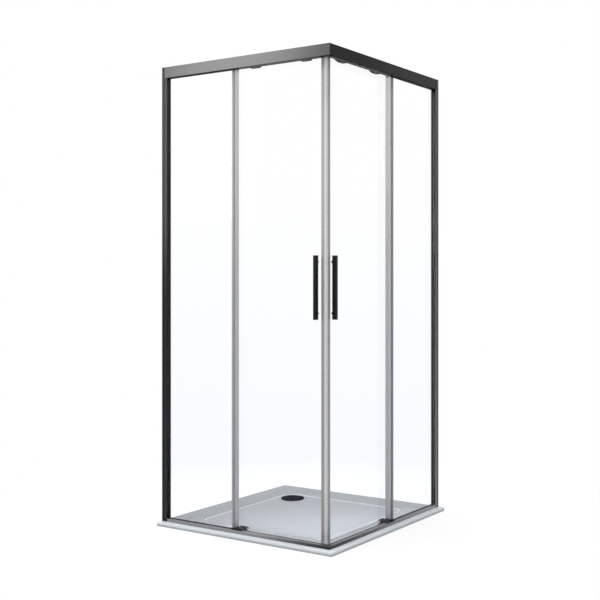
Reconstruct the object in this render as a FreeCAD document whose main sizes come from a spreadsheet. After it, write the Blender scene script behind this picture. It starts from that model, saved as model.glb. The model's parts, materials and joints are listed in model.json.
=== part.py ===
import FreeCAD, Part
import math
import os
from types import SimpleNamespace

import Sketcher
from FreeCAD import Vector

# A corner shower enclosure on a square tray, in millimetres, +Z up.
# The origin is the middle of the tray's underside. The walls of the room stand at -X and at +Y.
# The front face looks along -Y and is the left one seen from the entry; the right face is the
# same set of pieces mirrored about the diagonal through the entry corner.
# "Outward" below is a distance from the middle of the tray towards the front face, along -Y.

SIZES = {
    # shower tray, a slim cast slab with a shallow basin
    "tray_side": 900,
    "tray_height": 16.5,
    "tray_edge_radius": 4.5,
    "tray_corner_radius": 7,
    "wall_ledge": 104,
    "entry_ledge": 130,
    "basin_depth": 8,
    "basin_slope": 25,
    "basin_corner_radius": 60,
    "basin_fall": 1,
    "basin_rim_radius": 14,
    # waste: a flanged outlet under a lift-off cover
    "drain_inset": 195,
    "drain_ring_side": 124,
    "drain_ring_radius": 15,
    "waste_bore": 80,
    "waste_wall": 4.7,
    "waste_flange_width": 16,
    "waste_flange_thickness": 2.5,
    "waste_fit": 0.3,
    "cover_diameter": 108,
    "cover_thickness": 2.5,
    "cover_edge_radius": 1.2,
    "cover_skirt": 1.2,
    "cover_foot_height": 2,
    "cover_foot_diameter": 7,
    "cover_foot_inset": 9,
    "cover_seat_gap": 0.2,
    # where the framed faces stand, and how high
    "overall_height": 1941,
    "face_setback": 27,
    "rail_depth": 27,
    "mitre_gap": 0.1,
    "edge_softness": 0.6,
    # top rail, an extrusion with the pane slot below and the roller track above it
    "top_rail_height": 47,
    "rail_wall": 2,
    "slot_wall": 1.75,
    "top_slot_depth": 15,
    "track_floor": 2,
    "track_width": 12,
    "track_lip": 3,
    # bottom rail
    "sill_height": 12.5,
    "sill_wall": 1.5,
    "sill_slot_floor": 3.5,
    # wall profile, on a wall whose tiles stand on the tray's edge, and the post that slides into it
    "tile_thickness": 8.7,
    "channel_depth": 14,
    "channel_base": 2,
    "channel_wall": 1.8,
    "channel_fit": 0.3,
    "post_width": 29.3,
    "post_wall": 1.8,
    "post_slot_depth": 10.7,
    "tongue_end_gap": 1.5,
    "wall_hole_diameter": 6,
    "wall_hole_end_gap": 220,
    "post_screw_end_gap": 260,
    "post_screw_inset": 9,
    "post_screw_diameter": 3.5,
    "post_screw_length": 6,
    "post_screw_head": 7,
    "post_screw_head_height": 2,
    "screw_fit": 0.1,
    # corner cleats inside the rails
    "cleat_fit": 0.2,
    "top_cleat_leg": 55,
    "sill_cleat_leg": 40,
    # fixed pane, its gasket and the cover profile on its free edge
    "pane_thickness": 6,
    "pane_setback": 18,
    "pane_slot_width": 9.5,
    "pane_side_bed": 3.2,
    "pane_foot_bed": 2,
    "pane_head_gap": 4,
    "gasket_proud": 1.5,
    "gasket_fit": 0.05,
    "fixed_side_end": 60,
    "edge_profile_width": 9,
    "edge_profile_wall": 1.45,
    # door pane and where it hangs
    "door_pane_thickness": 6,
    "door_standoff": 24,
    "door_overlap": 22.5,
    "door_floor_gap": 7.5,
    "door_top_drop": 15,
    "glass_hole_fit": 1,
    # closing profile with its magnet
    "closing_reach": 12.5,
    "closing_grip": 8,
    "clip_half_width": 4.5,
    "clip_fit": 0.1,
    "closing_face_gap": 0.3,
    "closing_nose_radius": 1.4,
    "closing_floor_gap": 3.5,
    "magnet_width": 5,
    "magnet_thickness": 2,
    "magnet_cover": 1.4,
    "magnet_fit": 0.1,
    # trailing seal and bottom seal
    "trailing_wall": 1.4,
    "trailing_grip": 10,
    "fin_thickness": 1.5,
    "fin_reach": 22.5,
    "seal_step": 0.1,
    "bottom_seal_half_width": 4.1,
    "bottom_seal_height": 11,
    "bottom_seal_floor_gap": 3.5,
    # handle
    "handle_inset": 29.5,
    "handle_width": 12.5,
    "handle_depth": 19,
    "handle_length": 250,
    "handle_height": 1011,
    "handle_softness": 1.5,
    "handle_screw_inset": 25,
    "handle_screw_diameter": 6,
    "handle_screw_bite": 11,
    "handle_cap_diameter": 10,
    "handle_cap_height": 2.5,
    # roller carriages, their bolts and clamp plates
    "carriage_length": 52,
    "carriage_height": 40,
    "carriage_gap": 1.5,
    "carriage_corner_radius": 9,
    "carriage_wall": 3,
    "carriage_hollow_depth": 9,
    "boss_wall": 2.5,
    "front_carriage_inset": 76.5,
    "rear_carriage_inset": 113.5,
    "bolt_spacing": 28,
    "bolt_rise": 18,
    "bolt_diameter": 6,
    "bolt_bite": 12,
    "bolt_head_diameter": 10,
    "bolt_head_height": 4,
    "bolt_socket_diameter": 5,
    "bolt_socket_depth": 2.4,
    "clamp_length": 46,
    "clamp_height": 22,
    "clamp_thickness": 5,
    "clamp_corner_radius": 5,
    # tandem wheels and their axle pins
    "wheel_diameter": 22,
    "wheel_width": 5,
    "wheel_spacing": 25,
    "wheel_run_gap": 0.3,
    "wheel_side_gap": 3,
    "wheel_tread_radius": 0.8,
    "wheel_hub_wall": 2,
    "wheel_rim_wall": 2.4,
    "wheel_dish": 1,
    "axle_diameter": 6,
    "axle_fit": 0.05,
    "axle_float": 0.3,
    "axle_bite": 9.5,
    "axle_collar_diameter": 8,
    "axle_head_diameter": 9,
    "axle_head_gap": 0.8,
    "axle_head_thickness": 1.7,
    # rubber stops in the track
    "stop_length": 12,
    "stop_height": 20,
    "stop_touch_gap": 0.5,
    "door_travel": 345,
    # door guide on the bottom rail
    "guide_start_gap": 1,
    "guide_length": 34,
    "guide_taper": 10,
    "guide_ear": 11,
    "guide_rise": 5.5,
    "guide_front": 14,
    "guide_base": 2.5,
    "guide_jaw": 5.6,
    "guide_play": 0.8,
    "guide_softness": 1.2,
    # every cut runs past the solid by this much
    "overrun": 5,
}

# The long side of a square corner's triangle is its short side divided by this share
DIAGONAL_SHARE = math.sqrt(0.5)
NEAR = 1e-4


class Size:
    """A length known as a number and as the formula on the sheet that gives it."""

    def __init__(self, formula, number):
        self.formula = formula
        self.number = number

    def __add__(self, other):
        other = as_size(other)
        return Size("(%s + %s)" % (self.formula, other.formula), self.number + other.number)

    def __sub__(self, other):
        other = as_size(other)
        return Size("(%s - %s)" % (self.formula, other.formula), self.number - other.number)

    def __mul__(self, share):
        return Size("(%s * %.9f)" % (self.formula, share), self.number * share)

    def __truediv__(self, share):
        return Size("(%s / %.9f)" % (self.formula, share), self.number / share)

    def __neg__(self):
        return Size("(-%s)" % self.formula, -self.number)

    __radd__ = __add__
    __rmul__ = __mul__


def as_size(value):
    if isinstance(value, Size):
        return value
    return Size("%g" % value, value)


def write_sheet(doc, sizes):
    """Puts every driving dimension on the sheet and gives it back as a named size."""
    sheet = doc.addObject("Spreadsheet::Sheet", "Sizes")
    for row, (name, value) in enumerate(sizes.items(), 1):
        sheet.set("A%d" % row, name)
        sheet.set("B%d" % row, str(value))
        sheet.setAlias("B%d" % row, name)
    doc.recompute()
    return SimpleNamespace(**{name: Size("Sizes." + name, sheet.get(name)) for name in sizes})


def bind(thing, name, size):
    thing.setExpression(name, as_size(size).formula)


# Sketches


def new_sketch(body, role, slide=0, rise=0, depth=0):
    """A sketch on one of the body's own planes, moved along its own two axes and its normal.

    XY_Plane is the plan. XZ_Plane is the front view, with its normal outward.
    YZ_Plane is the cross-section of a rail, with outward distances negative.
    """
    sketch = body.newObject("Sketcher::SketchObject", "Outline")
    for feature in body.Origin.OriginFeatures:
        if feature.Role == role:
            sketch.AttachmentSupport = [(feature, "")]
    sketch.MapMode = "FlatFace"
    bind(sketch, ".AttachmentOffset.Base.x", slide)
    bind(sketch, ".AttachmentOffset.Base.y", rise)
    bind(sketch, ".AttachmentOffset.Base.z", depth)
    return sketch


def pin_point(sketch, geometry, end, across, up):
    """Fixes one end of a line or arc by its two distances from the sketch's origin."""
    for kind, size in (("DistanceX", across), ("DistanceY", up)):
        if size is not None:
            number = sketch.addConstraint(
                Sketcher.Constraint(kind, -1, 1, geometry, end, size.number))
            bind(sketch, "Constraints[%d]" % number, size)


def towards(start, end, length):
    """The point at a length from start, on the level or upright line to end."""
    across = (end[0].number > start[0].number + NEAR) - (end[0].number < start[0].number - NEAR)
    up = (end[1].number > start[1].number + NEAR) - (end[1].number < start[1].number - NEAR)
    return start[0] + length * across, start[1] + length * up


def add_corner_arc(sketch, before, corner, after):
    """A quarter round in place of a square corner; gives the arc and its entry and exit ends."""
    radius = corner[2]
    entry = towards(corner, before, radius)
    leave = towards(corner, after, radius)
    middle = (entry[0] + leave[0] - corner[0], entry[1] + leave[1] - corner[1])
    turn = ((corner[0].number - before[0].number) * (after[1].number - corner[1].number)
            - (corner[1].number - before[1].number) * (after[0].number - corner[0].number))
    first, last = (entry, leave) if turn > 0 else (leave, entry)
    centre = Vector(middle[0].number, middle[1].number, 0)
    angles = [math.atan2(point[1].number - centre.y, point[0].number - centre.x)
              for point in (first, last)]
    round_part = Part.ArcOfCircle(Part.Circle(centre, Vector(0, 0, 1), radius.number), *angles)
    arc = sketch.addGeometry(round_part)
    pin_point(sketch, arc, 3, *middle)
    pin_point(sketch, arc, 1, *first)
    level_end = abs(last[1].number - centre.y) < NEAR
    pin_point(sketch, arc, 2, None if level_end else last[0], last[1] if level_end else None)
    ends = (1, 2) if turn > 0 else (2, 1)
    return (arc, ends[0], entry), (arc, ends[1], leave)


def draw(sketch, corners):
    """A closed outline through corners (across, up) or, with a round, (across, up, radius)."""
    corners = [tuple(as_size(value) for value in corner) for corner in corners]
    stops = []
    for place, corner in enumerate(corners):
        if len(corner) == 3:
            before = corners[place - 1]
            after = corners[(place + 1) % len(corners)]
            stops.append(add_corner_arc(sketch, before, corner, after))
        else:
            stops.append(((None, None, corner), (None, None, corner)))
    lines = []
    for place in range(len(corners)):
        start = stops[place][1]
        end = stops[(place + 1) % len(corners)][0]
        line = Part.LineSegment(Vector(start[2][0].number, start[2][1].number, 0),
                                Vector(end[2][0].number, end[2][1].number, 0))
        lines.append(sketch.addGeometry(line))
    for place, line in enumerate(lines):
        following = (place + 1) % len(corners)
        entry, leave = stops[following]
        if entry[0] is None:
            sketch.addConstraint(
                Sketcher.Constraint("Coincident", line, 2, lines[following], 1))
            pin_point(sketch, line, 2, *entry[2])
        else:
            sketch.addConstraint(Sketcher.Constraint("Coincident", line, 2, entry[0], entry[1]))
            sketch.addConstraint(
                Sketcher.Constraint("Coincident", lines[following], 1, leave[0], leave[1]))
    return sketch


def draw_circle(sketch, across, up, radius):
    across, up = as_size(across), as_size(up)
    centre = Vector(across.number, up.number, 0)
    circle = sketch.addGeometry(Part.Circle(centre, Vector(0, 0, 1), radius.number))
    pin_point(sketch, circle, 3, across, up)
    number = sketch.addConstraint(Sketcher.Constraint("Radius", circle, radius.number))
    bind(sketch, "Constraints[%d]" % number, radius)
    return sketch


def box(left, low, right, high, radius=None):
    """The four corners of a rectangle, rounded where a radius is given."""
    corners = [(left, low), (right, low), (right, high), (left, high)]
    if radius is not None:
        corners = [corner + (radius,) for corner in corners]
    return corners


def flip(corners):
    """Turns outward distances into the plan's or the section's negative ones."""
    return [(-as_size(corner[0]),) + tuple(corner[1:]) for corner in corners]


def flip_plan(corners):
    """Plan corners given as (x, outward), turned into the plan's own x and y."""
    return [(corner[0], -as_size(corner[1])) + tuple(corner[2:]) for corner in corners]


# Features


def new_body(name):
    return FreeCAD.ActiveDocument.addObject("PartDesign::Body", name)


def pad(body, sketch, length):
    feature = body.newObject("PartDesign::Pad", "Pad")
    feature.Profile = sketch
    bind(feature, "Length", length)
    FreeCAD.ActiveDocument.recompute()
    return feature


def cut(body, sketch, length):
    """Removes the outline's column, from the sketch along its normal."""
    before = body.Shape.Volume
    feature = body.newObject("PartDesign::Pocket", "Pocket")
    feature.Profile = sketch
    feature.Reversed = True
    bind(feature, "Length", length)
    FreeCAD.ActiveDocument.recompute()
    if body.Shape.Volume > before - NEAR:
        raise RuntimeError("a cut in %s removed nothing" % body.Name)
    return feature


def turn(body, sketch, axis):
    feature = body.newObject("PartDesign::Revolution", "Revolution")
    feature.Profile = sketch
    feature.ReferenceAxis = (sketch, [axis])
    FreeCAD.ActiveDocument.recompute()
    return feature


def edges_at(shape, **places):
    """Names of the edges whose ends all lie at the given x, y or z."""
    names = []
    for number, edge in enumerate(shape.Edges, 1):
        ends = [vertex.Point for vertex in edge.Vertexes]
        off = [abs(getattr(end, axis) - place.number) for end in ends
               for axis, place in places.items()]
        if max(off) < NEAR:
            names.append("Edge%d" % number)
    return names


def soften(body, names, radius, kind="Fillet"):
    """Rounds or bevels the named edges of the body as it stands."""
    base = body.Tip
    before = body.Shape.Volume
    feature = body.newObject("PartDesign::" + kind, kind)
    feature.Base = (base, names)
    bind(feature, "Radius" if kind == "Fillet" else "Size", radius)
    FreeCAD.ActiveDocument.recompute()
    if body.Shape.Volume > before - NEAR:
        raise RuntimeError("the edges of %s stayed sharp" % body.Name)
    return feature


def turned_piece(name, x, height, profile):
    """A round piece about a line that runs outward at x and height: (outward, radius) corners."""
    body = new_body(name)
    sketch = draw(new_sketch(body, "YZ_Plane", 0, height, x), flip(profile))
    turn(body, sketch, "H_Axis")
    return body


def round_cut(body, x, height, start, length, radius):
    """A round hole that runs outward from start."""
    sketch = new_sketch(body, "XZ_Plane", 0, 0, start)
    cut(body, draw_circle(sketch, x, height, radius), length)


def group(name, bodies):
    compound = FreeCAD.ActiveDocument.addObject("Part::Compound", name)
    compound.Links = bodies
    return compound


def lay_out(s):
    """Lines and levels that more than one piece follows."""
    g = SimpleNamespace()
    g.half_tray = s.tray_side / 2
    g.rail_outer = g.half_tray - s.face_setback
    g.rail_inner = g.rail_outer - s.rail_depth
    g.rail_top = s.overall_height
    g.rail_bottom = s.overall_height - s.top_rail_height
    g.sill_bottom = s.tray_height
    g.sill_top = s.tray_height + s.sill_height
    g.pane_plane = g.rail_outer - s.pane_setback
    g.slot_inner = g.pane_plane - s.pane_slot_width / 2
    g.slot_outer = g.pane_plane + s.pane_slot_width / 2
    g.chamber_inner = g.slot_outer + s.slot_wall
    g.wall_plane = s.tile_thickness - g.half_tray
    g.post_shoulder = g.wall_plane + s.channel_depth + s.channel_fit
    g.post_front = g.wall_plane + s.post_width
    g.tongue_back = g.wall_plane + s.channel_base + s.tongue_end_gap
    g.post_inner = g.slot_inner - s.slot_wall
    g.tongue_inner = g.post_inner + s.channel_wall + s.channel_fit
    g.tongue_outer = g.rail_outer - s.channel_wall - s.channel_fit
    g.fixed_end = -s.fixed_side_end
    g.track_floor = g.rail_bottom + s.top_slot_depth + s.track_floor
    g.door_plane = g.rail_inner - s.door_standoff
    g.door_inner = g.door_plane - s.door_pane_thickness / 2
    g.door_outer = g.door_plane + s.door_pane_thickness / 2
    g.door_trail = g.fixed_end - s.door_overlap
    g.door_lead = g.door_plane - s.closing_reach
    g.door_low = s.tray_height + s.door_floor_gap
    g.door_high = s.overall_height - s.door_top_drop
    g.front_carriage = g.door_lead - s.front_carriage_inset
    g.rear_carriage = g.door_trail + s.rear_carriage_inset
    g.bolt_height = g.rail_bottom + s.bolt_rise
    g.axle_height = g.track_floor + s.wheel_run_gap + s.wheel_diameter / 2
    g.wheel_inner = g.rail_inner + s.rail_wall + s.wheel_side_gap
    g.wheel_outer = g.wheel_inner + s.wheel_width
    g.handle_middle = g.door_lead - s.handle_inset
    g.drain_x = s.drain_inset - g.half_tray
    g.drain_outward = s.drain_inset - g.half_tray
    g.entry_line = s.entry_ledge - g.half_tray
    g.waste_top = s.tray_height - s.basin_depth - s.basin_fall
    return g


# Shower tray: one cast slab with a sloped basin, set back further on the two entry sides


def basin_corners(s, g, inset, radius):
    low = -g.half_tray + s.wall_ledge + inset
    high = g.half_tray - s.entry_ledge - inset
    return box(low, -high, high, -low, radius)


def make_tray(s, g):
    body = new_body("TrayBody")
    outline = draw(new_sketch(body, "XY_Plane"),
                   box(-g.half_tray, -g.half_tray, g.half_tray, g.half_tray,
                       s.tray_corner_radius))
    pad(body, outline, s.tray_height)
    rim = draw(new_sketch(body, "XY_Plane", depth=s.tray_height),
               basin_corners(s, g, as_size(0), s.basin_corner_radius))
    floor = draw(new_sketch(body, "XY_Plane", depth=s.tray_height - s.basin_depth),
                 basin_corners(s, g, s.basin_slope, s.basin_corner_radius - s.basin_slope))
    ring_half = s.drain_ring_side / 2
    ring = draw(new_sketch(body, "XY_Plane", depth=g.waste_top),
                box(g.drain_x - ring_half, -g.drain_outward - ring_half,
                    g.drain_x + ring_half, -g.drain_outward + ring_half, s.drain_ring_radius))
    before = body.Shape.Volume
    basin = body.newObject("PartDesign::SubtractiveLoft", "Basin")
    basin.Profile = rim
    basin.Sections = [floor, ring]
    basin.Ruled = True
    FreeCAD.ActiveDocument.recompute()
    if body.Shape.Volume > before - NEAR:
        raise RuntimeError("the basin removed nothing")
    rim_edges = edges_at(body.Shape, z=s.tray_height, y=g.entry_line)
    soften(body, rim_edges, s.basin_rim_radius)
    flange_radius = s.waste_bore / 2 + s.waste_flange_width
    seat = new_sketch(body, "XY_Plane", depth=g.waste_top - s.waste_flange_thickness)
    draw_circle(seat, g.drain_x, -g.drain_outward, flange_radius + s.waste_fit)
    cut(body, seat, s.waste_flange_thickness + s.overrun)
    hole = new_sketch(body, "XY_Plane", depth=-s.overrun)
    draw_circle(hole, g.drain_x, -g.drain_outward, s.waste_bore / 2 + s.waste_wall + s.waste_fit)
    cut(body, hole, g.waste_top + s.overrun)
    top = [edges_at(body.Shape, z=s.tray_height, **{axis: side})
           for axis in "xy" for side in (g.half_tray, -g.half_tray)]
    soften(body, sum(top, []), s.tray_edge_radius)
    return body


def turned_about_drain(name, s, g, profile):
    """A round piece about the drain's upright axis: (radius, height) corners."""
    body = new_body(name)
    sketch = new_sketch(body, "XZ_Plane", g.drain_x, 0, g.drain_outward)
    turn(body, draw(sketch, profile), "V_Axis")
    return body


def make_waste_flange(s, g):
    bore = s.waste_bore / 2
    spigot = bore + s.waste_wall
    flange = bore + s.waste_flange_width
    seat = g.waste_top - s.waste_flange_thickness
    return turned_about_drain("WasteBody", s, g, [
        (bore, as_size(0)), (spigot, as_size(0)), (spigot, seat), (flange, seat),
        (flange, g.waste_top), (bore, g.waste_top)])


def make_drain_cover(s, g):
    under = g.waste_top + s.cover_seat_gap + s.cover_foot_height
    top = under + s.cover_thickness
    rim = s.cover_diameter / 2
    skirt = rim - s.cover_thickness
    skirt_low = under - s.cover_skirt
    body = turned_about_drain("CoverBody", s, g, [
        (as_size(0), under), (skirt, under), (skirt, skirt_low), (rim, skirt_low),
        (rim, top, s.cover_edge_radius), (as_size(0), top)])
    reach = rim - s.cover_foot_inset
    feet = new_sketch(body, "XY_Plane", g.drain_x, -g.drain_outward,
                      g.waste_top + s.cover_seat_gap)
    for number in range(3):
        angle = 2 * math.pi * number / 3
        draw_circle(feet, reach * math.cos(angle), reach * math.sin(angle),
                    s.cover_foot_diameter / 2)
    pad(body, feet, s.cover_foot_height)
    return body


# Rails: hollow extrusions, cut at 45 degrees where they meet over the entry corner


def mitre(body, s, g, low, high):
    """Cuts a front rail's end along the diagonal, half a joint's gap short of it."""
    near_side = g.rail_inner - s.overrun
    far_side = g.rail_outer + s.overrun
    corner = new_sketch(body, "XY_Plane", depth=low - s.overrun)
    draw(corner, flip_plan([
        (near_side - s.mitre_gap, near_side), (far_side - s.mitre_gap, far_side),
        (far_side, near_side)]))
    cut(body, corner, high - low + s.overrun * 2)


def make_top_rail(s, g):
    track_inner = g.rail_inner + s.rail_wall
    track_outer = track_inner + s.track_width
    ceiling = g.rail_top - s.rail_wall
    slot_top = g.rail_bottom + s.top_slot_depth
    body = new_body("TopRailBody")
    section = new_sketch(body, "YZ_Plane", depth=g.post_shoulder)
    draw(section, flip([
        (g.rail_outer, g.rail_bottom, s.edge_softness),
        (g.rail_outer, g.rail_top, s.edge_softness),
        (g.rail_inner, g.rail_top, s.edge_softness),
        (g.rail_inner, ceiling - s.track_lip), (track_inner, ceiling - s.track_lip),
        (track_inner, ceiling), (track_outer, ceiling), (track_outer, g.track_floor),
        (track_inner, g.track_floor), (track_inner, g.track_floor + s.track_lip),
        (g.rail_inner, g.track_floor + s.track_lip), (g.rail_inner, g.rail_bottom),
        (g.slot_inner, g.rail_bottom), (g.slot_inner, slot_top),
        (g.slot_outer, slot_top), (g.slot_outer, g.rail_bottom)]))
    draw(section, flip(box(g.chamber_inner, g.rail_bottom + s.rail_wall,
                           g.rail_outer - s.rail_wall, ceiling)))
    pad(body, section, g.rail_outer - g.post_shoulder)
    mitre(body, s, g, g.rail_bottom, g.rail_top)
    return body


def make_bottom_rail(s, g):
    slot_floor = g.sill_bottom + s.sill_slot_floor
    body = new_body("SillBody")
    section = new_sketch(body, "YZ_Plane", depth=g.post_front)
    draw(section, flip([
        (g.rail_outer, g.sill_bottom), (g.rail_outer, g.sill_top, s.edge_softness),
        (g.slot_outer, g.sill_top), (g.slot_outer, slot_floor),
        (g.slot_inner, slot_floor), (g.slot_inner, g.sill_top),
        (g.rail_inner, g.sill_top, s.edge_softness), (g.rail_inner, g.sill_bottom)]))
    draw(section, flip(box(g.slot_outer + s.sill_wall, g.sill_bottom + s.sill_wall,
                           g.rail_outer - s.sill_wall, g.sill_top - s.sill_wall)))
    pad(body, section, g.rail_outer - g.post_front)
    mitre(body, s, g, g.sill_bottom, g.sill_top)
    return body


def make_cleat(name, s, inner, outer, low, high, leg):
    """An L-shaped corner cleat that fills the outer chamber of both rails at their joint."""
    near_side = inner + s.cleat_fit
    far_side = outer - s.cleat_fit
    body = new_body(name)
    plan = draw(new_sketch(body, "XY_Plane", depth=low + s.cleat_fit), [
        (far_side - leg, -far_side), (far_side, -far_side), (far_side, leg - far_side),
        (near_side, leg - far_side), (near_side, -near_side), (far_side - leg, -near_side)])
    pad(body, plan, high - low - s.cleat_fit * 2)
    return body


# Wall profile, the post whose tongue slides into it to take up an uneven wall, and the screws
# that lock the two


def three_heights(low, high, end_gap):
    """Heights of three holes: one at a distance from either end, and one midway between them."""
    first = low + end_gap
    last = high - end_gap
    return [first, (first + last) / 2, last]


def lock_heights(s, g):
    return three_heights(s.tray_height, g.rail_bottom, s.post_screw_end_gap)


def make_wall_profile(s, g):
    """A channel as high as the whole frame, open towards the post."""
    base = g.wall_plane + s.channel_base
    tip = g.wall_plane + s.channel_depth
    inner = g.post_inner + s.channel_wall
    outer = g.rail_outer - s.channel_wall
    body = new_body("ChannelBody")
    plan = draw(new_sketch(body, "XY_Plane", depth=s.tray_height), flip_plan([
        (g.wall_plane, g.post_inner), (tip, g.post_inner, s.edge_softness), (tip, inner),
        (base, inner), (base, outer), (tip, outer), (tip, g.rail_outer, s.edge_softness),
        (g.wall_plane, g.rail_outer)]))
    pad(body, plan, g.rail_top - s.tray_height)
    holes = new_sketch(body, "YZ_Plane", depth=g.wall_plane - s.overrun)
    for height in three_heights(s.tray_height, g.rail_top, s.wall_hole_end_gap):
        draw_circle(holes, -(g.post_inner + g.rail_outer) / 2, height, s.wall_hole_diameter / 2)
    cut(body, holes, s.channel_base + s.overrun * 2)
    for height in lock_heights(s, g):
        round_cut(body, g.wall_plane + s.post_screw_inset, height, g.post_inner - s.overrun,
                  s.channel_wall + s.overrun * 2, s.post_screw_diameter / 2 + s.screw_fit)
    return body


def make_post(s, g):
    """The post carries the pane's slot up to the rail; its hollow tongue goes on to the top."""
    web_front = g.post_front - s.post_slot_depth
    web_back = web_front - s.post_wall
    hollow_inner = g.tongue_inner + s.post_wall
    hollow_outer = g.tongue_outer - s.post_wall
    body = new_body("PostBody")
    plan = new_sketch(body, "XY_Plane", depth=s.tray_height)
    draw(plan, flip_plan([
        (g.tongue_back, g.tongue_inner), (g.post_shoulder, g.tongue_inner),
        (g.post_shoulder, g.post_inner), (g.post_front, g.post_inner, s.edge_softness),
        (g.post_front, g.slot_inner), (web_front, g.slot_inner),
        (web_front, g.slot_outer), (g.post_front, g.slot_outer),
        (g.post_front, g.rail_outer, s.edge_softness), (g.post_shoulder, g.rail_outer),
        (g.post_shoulder, g.tongue_outer), (g.tongue_back, g.tongue_outer),
        (g.tongue_back, hollow_outer), (web_back, hollow_outer),
        (web_back, hollow_inner), (g.tongue_back, hollow_inner)]))
    draw(plan, flip_plan(box(web_front, g.chamber_inner,
                             g.post_front - s.post_wall, g.rail_outer - s.post_wall)))
    pad(body, plan, g.rail_bottom - s.tray_height)
    tongue = draw(new_sketch(body, "XY_Plane", depth=g.rail_bottom), flip_plan([
        (g.tongue_back, g.tongue_inner), (g.post_shoulder, g.tongue_inner),
        (g.post_shoulder, g.tongue_outer), (g.tongue_back, g.tongue_outer),
        (g.tongue_back, hollow_outer), (g.post_shoulder - s.post_wall, hollow_outer),
        (g.post_shoulder - s.post_wall, hollow_inner), (g.tongue_back, hollow_inner)]))
    pad(body, tongue, g.rail_top - g.rail_bottom)
    for height in lock_heights(s, g):
        round_cut(body, g.wall_plane + s.post_screw_inset, height, g.post_inner - s.overrun,
                  g.tongue_inner - g.post_inner + s.post_wall + s.overrun * 2,
                  s.post_screw_diameter / 2 + s.screw_fit)
    return body


def make_post_screws(s, g):
    head = s.post_screw_head / 2
    shank = s.post_screw_diameter / 2
    profile = [
        (g.post_inner - s.post_screw_head_height, as_size(0)),
        (g.post_inner - s.post_screw_head_height, head), (g.post_inner, head),
        (g.post_inner, shank), (g.post_inner + s.post_screw_length, shank),
        (g.post_inner + s.post_screw_length, as_size(0))]
    x = g.wall_plane + s.post_screw_inset
    return group("PostScrews", [
        turned_piece("PostScrewBody", x, height, profile) for height in lock_heights(s, g)])


# Fixed pane: glass in a gasket on three sides, with a light cover profile on its free edge


def pane_edges(s, g):
    """Left, low, right and high edge of the fixed pane in the front view."""
    left = g.post_front - s.post_slot_depth + s.pane_side_bed
    low = g.sill_bottom + s.sill_slot_floor + s.pane_foot_bed
    right = g.fixed_end - s.edge_profile_wall - s.gasket_fit
    high = g.rail_bottom + s.top_slot_depth - s.pane_head_gap
    return left, low, right, high


def make_fixed_glass(s, g):
    body = new_body("FixedGlassBody")
    front = new_sketch(body, "XZ_Plane", depth=g.pane_plane - s.pane_thickness / 2)
    pad(body, draw(front, box(*pane_edges(s, g))), s.pane_thickness)
    return body


def make_gasket(s, g):
    """The gasket round three sides of the pane, and the strips that close the empty slots."""
    left, low, right, high = pane_edges(s, g)
    start = g.slot_inner + s.gasket_fit
    width = s.pane_slot_width - s.gasket_fit * 2
    body = new_body("GasketBody")
    slot_back = g.post_front - s.post_slot_depth + s.gasket_fit
    slot_low = g.sill_bottom + s.sill_slot_floor + s.gasket_fit
    slot_high = g.rail_bottom + s.top_slot_depth - s.gasket_fit
    lip_x = g.post_front + s.gasket_proud
    lip_low = g.sill_top + s.gasket_proud
    lip_high = g.rail_bottom - s.gasket_proud
    ring = draw(new_sketch(body, "XZ_Plane", depth=start), [
        (slot_back, slot_low), (g.fixed_end, slot_low), (g.fixed_end, lip_low),
        (lip_x, lip_low), (lip_x, lip_high), (g.fixed_end, lip_high),
        (g.fixed_end, slot_high), (slot_back, slot_high)])
    pad(body, ring, width)
    bed = new_sketch(body, "XZ_Plane", depth=g.pane_plane - s.pane_thickness / 2 - s.gasket_fit)
    draw(bed, box(left - s.gasket_fit, low - s.gasket_fit,
                  g.fixed_end + s.overrun, high + s.gasket_fit))
    cut(body, bed, s.pane_thickness + s.gasket_fit * 2)
    strips = []
    levels = ((slot_low, g.sill_top - slot_low), (g.rail_bottom, slot_high - g.rail_bottom))
    for strip_low, strip_height in levels:
        strip = new_body("SlotStripBody")
        plan = draw(new_sketch(strip, "XY_Plane", depth=strip_low), flip_plan([
            (g.fixed_end + s.gasket_fit, start), (start - s.mitre_gap, start),
            (start + width - s.mitre_gap, start + width),
            (g.fixed_end + s.gasket_fit, start + width)]))
        pad(strip, plan, strip_height)
        strips.append(strip)
    return group("Gasket", [body] + strips)


def make_edge_profile(s, g):
    right = pane_edges(s, g)[2]
    low = g.sill_top + s.gasket_proud + s.seal_step
    high = g.rail_bottom - s.gasket_proud - s.seal_step
    face = s.pane_thickness / 2 + s.gasket_fit
    half = face + s.edge_profile_wall
    left = g.fixed_end - s.edge_profile_width
    body = new_body("EdgeProfileBody")
    plan = draw(new_sketch(body, "XY_Plane", depth=low), flip_plan([
        (left, g.pane_plane - half), (g.fixed_end, g.pane_plane - half, s.edge_softness),
        (g.fixed_end, g.pane_plane + half, s.edge_softness), (left, g.pane_plane + half),
        (left, g.pane_plane + face), (right + s.gasket_fit, g.pane_plane + face),
        (right + s.gasket_fit, g.pane_plane - face), (left, g.pane_plane - face)]))
    pad(body, plan, high - low)
    return body


# Door guide: a black plastic shoe that holds the foot of the sliding pane


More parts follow.
